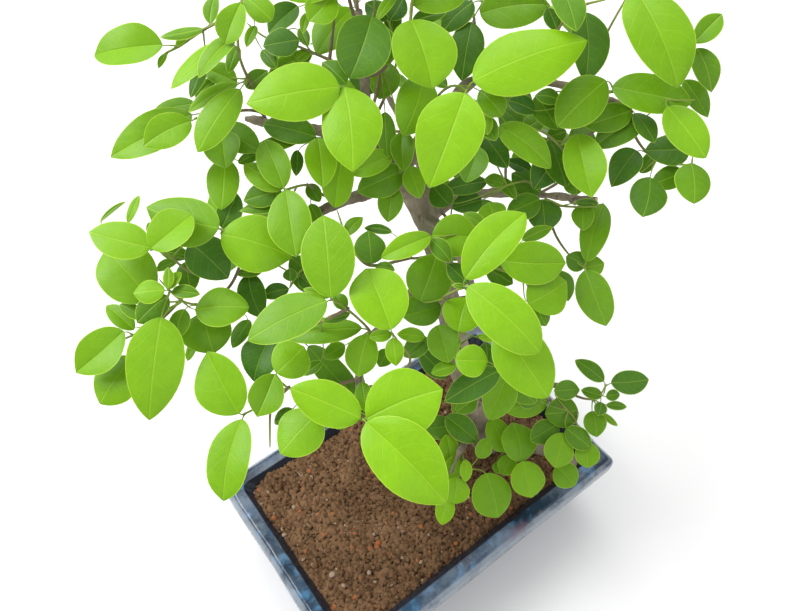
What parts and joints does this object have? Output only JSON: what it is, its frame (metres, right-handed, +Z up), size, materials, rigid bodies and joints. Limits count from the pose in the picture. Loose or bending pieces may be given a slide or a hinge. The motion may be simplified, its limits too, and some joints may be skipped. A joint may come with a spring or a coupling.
{
  "type": "potted privet bonsai",
  "caption": "Privet grown as a small bonsai tree with yellow-green leaves, in a rectangular pot with a dark blue glaze.",
  "frame": {"origin": "centre of the pot's flat base, at floor level", "axes": "+Z up, X along the pot's long side, Y along its short side, away from the viewer"},
  "size_m": [0.3059, 0.2466, 0.3577],
  "materials": {
    "glaze": "gloss",
    "soil": "matte",
    "bark": "matte",
    "leaf": "satin"
  },
  "bodies": {
    "root": {"back_shoot_high": "leaf", "back_shoot_left": "leaf", "back_shoot_low": "leaf", "back_shoot_right": "leaf", "back_shoot_under": "leaf", "crown_shoot_back": "leaf", "crown_shoot_top": "leaf", "left_shoot_under": "leaf", "low_shoot_left": "leaf", "low_shoot_mid": "leaf", "low_shoot_near": "leaf", "low_shoot_right": "leaf", "low_shoot_side": "leaf", "pot": "glaze", "right_shoot_back": "leaf", "right_shoot_under": "leaf", "shoot_branch_end": "leaf", "shoot_branch_top": "leaf", "shoot_centre": "leaf", "shoot_centre_high": "leaf", "shoot_centre_left": "leaf", "shoot_centre_low": "leaf", "shoot_inner_crown": "leaf", "shoot_inner_left": "leaf", "shoot_inner_right": "leaf", "shoot_left_centre": "leaf", "shoot_left_edge": "leaf", "shoot_left_high": "leaf", "shoot_left_low": "leaf", "shoot_left_mid": "leaf", "shoot_left_out": "leaf", "shoot_left_top": "leaf", "shoot_low_lights": "leaf", "shoot_lower_left": "leaf", "shoot_mid_fork": "leaf", "shoot_mid_high": "leaf", "shoot_mid_left": "leaf", "shoot_mid_right": "leaf", "shoot_right_centre": "leaf", "shoot_right_edge": "leaf", "shoot_right_high": "leaf", "shoot_right_low": "leaf", "shoot_right_out": "leaf", "shoot_top_centre": "leaf", "shoot_top_left": "leaf", "shoot_top_mid": "leaf", "shoot_top_right": "leaf", "shoot_upper_mid": "leaf", "soil": "soil", "sprig_right": "leaf", "trunk": "bark", "upper_right_shoot_back": "leaf", "upper_right_shoot_far": "leaf"}
  },
  "joints": []
}
